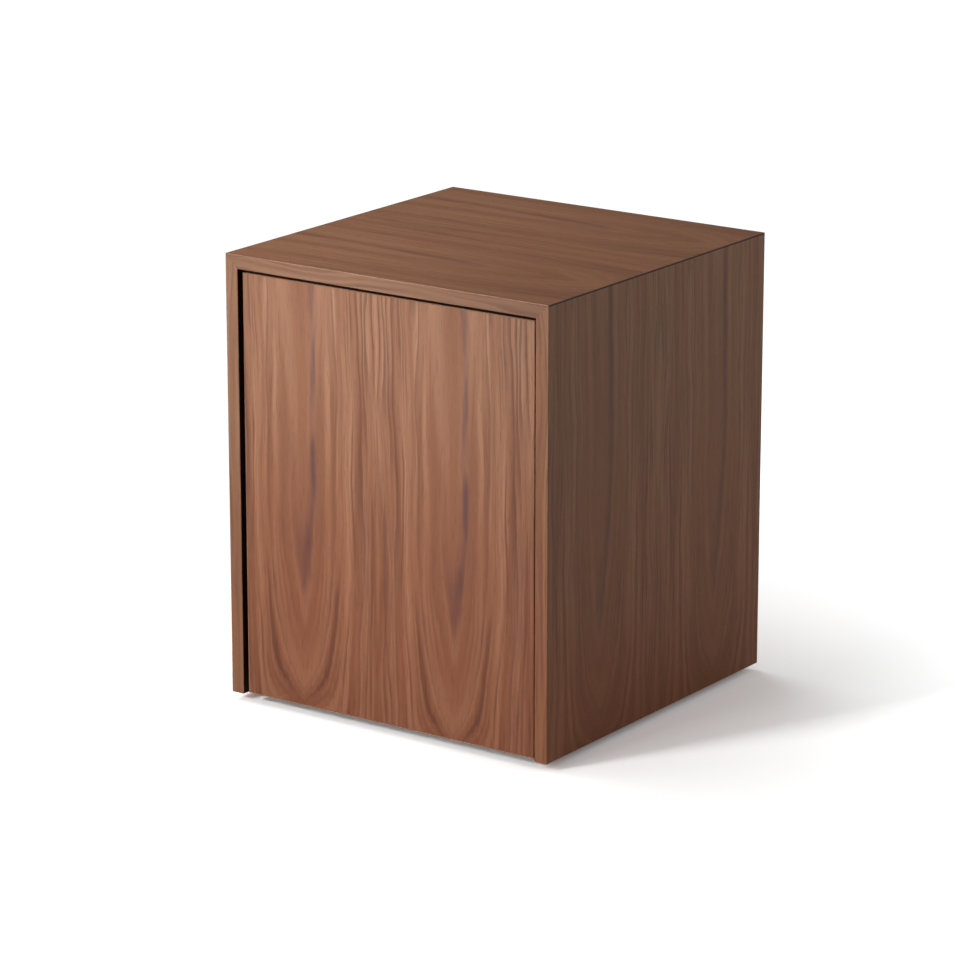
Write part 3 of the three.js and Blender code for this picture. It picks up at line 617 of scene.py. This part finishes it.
BOARD_EASE = 0.2
for node_name, material in {
    "left_side_panel": walnut_side,
    "right_side_panel": walnut_side,
    "top_panel": walnut_top,
    "bottom_panel": walnut_inside,
    "back_panel": walnut_back,
    "shelf": walnut_inside,
    "door_panel": walnut_door,
}.items():
    dress(node_name, material, BOARD_EASE)
print("boards dressed")

# %% [markdown]
# ## Edging strips
# A thin strip of solid walnut covers the edge of each board. It is what the hand
# meets, so its outer arris is eased more than the board's: 0.6 mm, which catches a
# line of light along the top of the case. A strip is a cube brought to size, its ends
# cut on the mitre with a plane, and only its front long edges bevelled. That is right
# only where the CAD piece is a plain strip too. A box in place of a bored edging would
# fill the bores and run through the hinges, so those edgings keep their own shape.

# %% Cut the strips
STRIP_EASE = 0.6 * MM


def finished(name, shape, material, body, *node_names, smooth=False):
    """Turns a bmesh into a piece that stands for its CAD nodes and rides on a body."""
    mesh = bpy.data.meshes.new(name)
    shape.to_mesh(mesh)
    shape.free()
    mesh.materials.append(material)
    if smooth:
        mesh.shade_smooth()
        mesh.set_sharp_from_angle(angle=math.radians(40))
    piece = bpy.data.objects.new(name, mesh)
    bpy.context.collection.objects.link(piece)
    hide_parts(*node_names)
    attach(piece, body)
    return piece


def strip(node_name, body, material, outward, mitres=()):
    """A bevelled strip in place of a CAD edging. outward is its exposed side."""
    low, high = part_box(node_name)
    shape = bmesh.new()
    bmesh.ops.create_cube(shape, size=1)
    bmesh.ops.scale(shape, vec=high - low, verts=shape.verts)
    bmesh.ops.translate(shape, vec=(low + high) / 2, verts=shape.verts)
    for point, normal in mitres:
        cut = bmesh.ops.bisect_plane(
            shape, geom=shape.verts[:] + shape.edges[:] + shape.faces[:],
            plane_co=point, plane_no=normal, clear_outer=True)
        rim = [g for g in cut["geom_cut"] if isinstance(g, bmesh.types.BMEdge)]
        bmesh.ops.holes_fill(shape, edges=rim)
    axis = max(range(3), key=lambda i: abs(outward[i]))
    face_at = (high if outward[axis] > 0 else low)[axis]
    length_axis = max(range(3), key=lambda i: (high - low)[i])
    long_edges = [
        edge for edge in shape.edges
        if all(abs(v.co[axis] - face_at) < 0.01 * MM for v in edge.verts)
        and abs((edge.verts[0].co - edge.verts[1].co)[length_axis]) > 20 * MM
    ]
    bmesh.ops.bevel(shape, geom=long_edges, offset=STRIP_EASE, offset_type="OFFSET",
                    segments=3, profile=0.5, affect="EDGES", material=-1)
    # The cut and the bevel leave two points in one place at the tip of a mitre.
    bmesh.ops.remove_doubles(shape, verts=shape.verts, dist=0.001 * MM)
    bmesh.ops.recalc_face_normals(shape, faces=shape.faces)
    return finished(node_name + "_strip", shape, material, body, node_name)


FRONT = Vector((0, -1, 0))
GLUE_LINE = 0.03 * MM
corner_left = Vector((cad_low.x, 0, cad_high.z))
corner_right = Vector((cad_high.x, 0, cad_high.z))
# Mitre planes hold the outer corner and run 45 degrees down into the case.
to_side_left = Vector((1, 0, 1)).normalized()
to_side_right = Vector((-1, 0, 1)).normalized()
strip("top_front_edging", "cabinet", walnut_edge_level, FRONT, [
    (corner_left + GLUE_LINE * to_side_left, -to_side_left),
    (corner_right + GLUE_LINE * to_side_right, -to_side_right),
])
strip("left_front_edging", "cabinet", walnut_edge_upright, FRONT,
      [(corner_left - GLUE_LINE * to_side_left, to_side_left)])
strip("right_front_edging", "cabinet", walnut_edge_right, FRONT,
      [(corner_right - GLUE_LINE * to_side_right, to_side_right)])
strip("bottom_front_edging", "cabinet", walnut_edge_level, FRONT)
strip("shelf_front_edging", "cabinet", walnut_edge_level, FRONT)
strip("door_edging_pull_side", "door", walnut_door_edge, Vector((-1, 0, 0)))
# These three aren't plain strips: one is bored for the hinges, and the other two end
# at the finger relief. They keep their own shape and only their corners are eased.
SHAPED_EASE_MM = 0.3
dress("door_edging_hinge_side", walnut_edge_right, SHAPED_EASE_MM)
dress("door_edging_top", walnut_door_edge, SHAPED_EASE_MM)
dress("door_edging_bottom", walnut_door_edge, SHAPED_EASE_MM)

# %% [markdown]
# ## Glides
# A screw-on glide is a moulded disc with a sunk middle for its screw. It is turned
# here: half of its section is drawn as one closed loop and spun round the upright
# axis, and then the corners that a mould would round are bevelled.

# %% Turn the glides
GLIDE_SIDES = 56
FOOT_ROUND = 2.4 * MM
RIM_ROUND = 0.7 * MM
SCREW_WELL = 4.5 * MM  # radius of the sunk middle
WELL_DEPTH = 5.0 * MM
SCREW_WAY = 2.1 * MM  # radius of the hole for the shank


def ring_edges(shape, centre, radius, height):
    """The edges of one turned corner, found by its radius and height."""
    def on_corner(vert):
        flat = (vert.co - centre).xy.length
        return abs(flat - radius) < 0.02 * MM and abs(vert.co.z - height) < 0.02 * MM
    return [edge for edge in shape.edges if all(on_corner(v) for v in edge.verts)]


for node_name in [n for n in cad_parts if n.startswith("glide_") and "screw" not in n]:
    low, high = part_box(node_name)
    centre = (low + high) / 2
    outer = (high.x - low.x) / 2
    section = [
        (SCREW_WELL, low.z), (outer, low.z), (outer, high.z),
        (SCREW_WAY, high.z), (SCREW_WAY, low.z + WELL_DEPTH), (SCREW_WELL, low.z + WELL_DEPTH),
    ]
    shape = bmesh.new()
    corners = [shape.verts.new((centre.x + r, centre.y, z)) for r, z in section]
    sides = [shape.edges.new((a, b)) for a, b in zip(corners, corners[1:] + corners[:1])]
    bmesh.ops.spin(shape, geom=corners + sides, cent=centre, axis=(0, 0, 1),
                   angle=2 * math.pi, steps=GLIDE_SIDES, use_merge=True)
    for radius, height, amount in ((outer, low.z, FOOT_ROUND), (outer, high.z, RIM_ROUND),
                                   (SCREW_WELL, low.z, RIM_ROUND)):
        bmesh.ops.bevel(shape, geom=ring_edges(shape, centre, radius, height), offset=amount,
                        offset_type="OFFSET", segments=4, profile=0.5, affect="EDGES",
                        material=-1)
    bmesh.ops.recalc_face_normals(shape, faces=shape.faces)
    finished(node_name + "_turned", shape, nylon, "cabinet", node_name, smooth=True)
print("glides turned, radius in mm:", round(outer / MM, 1))

# %% [markdown]
# ## Buffer dots
# A soft dot stops the door without a knock. It is a thin disc whose free face is
# domed by surface tension, so its front rim is rounded almost to the middle.

# %% Mould the buffer dots
for node_name in ("door_bumper_left", "door_bumper_right"):
    low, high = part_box(node_name)
    centre = (low + high) / 2
    radius = (high.x - low.x) / 2
    thickness = high.y - low.y
    shape = bmesh.new()
    bmesh.ops.create_cone(shape, cap_ends=True, segments=40, radius1=radius,
                          radius2=radius * 0.96, depth=thickness)
    bmesh.ops.rotate(shape, verts=shape.verts, cent=(0, 0, 0),
                     matrix=Matrix.Rotation(math.pi / 2, 3, "X"))
    bmesh.ops.translate(shape, verts=shape.verts, vec=centre)
    front_rim = [
        edge for edge in shape.edges
        if all(abs(v.co.y - low.y) < 0.01 * MM for v in edge.verts)
    ]
    bmesh.ops.bevel(shape, geom=front_rim, offset=thickness * 0.75, offset_type="OFFSET",
                    segments=5, profile=0.5, affect="EDGES", material=-1)
    bmesh.ops.recalc_face_normals(shape, faces=shape.faces)
    finished(node_name + "_dome", shape, elastomer, "cabinet", node_name, smooth=True)
print("buffer dots:", round(radius / MM, 1), "mm radius")

# %% [markdown]
# ## Everything else
# Screws, pins, dowels and hinge parts keep their CAD shape. Each is eased by an
# amount that suits it and given its own finish.

# %% Dress the fittings
for node_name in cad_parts:
    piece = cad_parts[node_name]
    if piece.hide_render or piece.modifiers:
        continue
    if "screw" in node_name or "pin" in node_name or node_name == "catch_strike_plate":
        dress(node_name, zinc_plate, 0.12)
    elif "hinge" in node_name:
        dress(node_name, die_cast, 0.15)
    elif "dowel" in node_name or "spline" in node_name:
        dress(node_name, beech, 0.1)
    elif node_name == "catch_body":
        dress(node_name, moulded_abs, 0.3)
    else:
        dress(node_name, ferrite, 0.15)

# %% [markdown]
# ## Hand over
# The box of the finished model is measured again and written beside the CAD box, so
# that anyone can see that the finish added nothing to the size.

# %% Finish
low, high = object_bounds()
print("visual box in mm:", [round(v / MM, 1) for v in high - low])
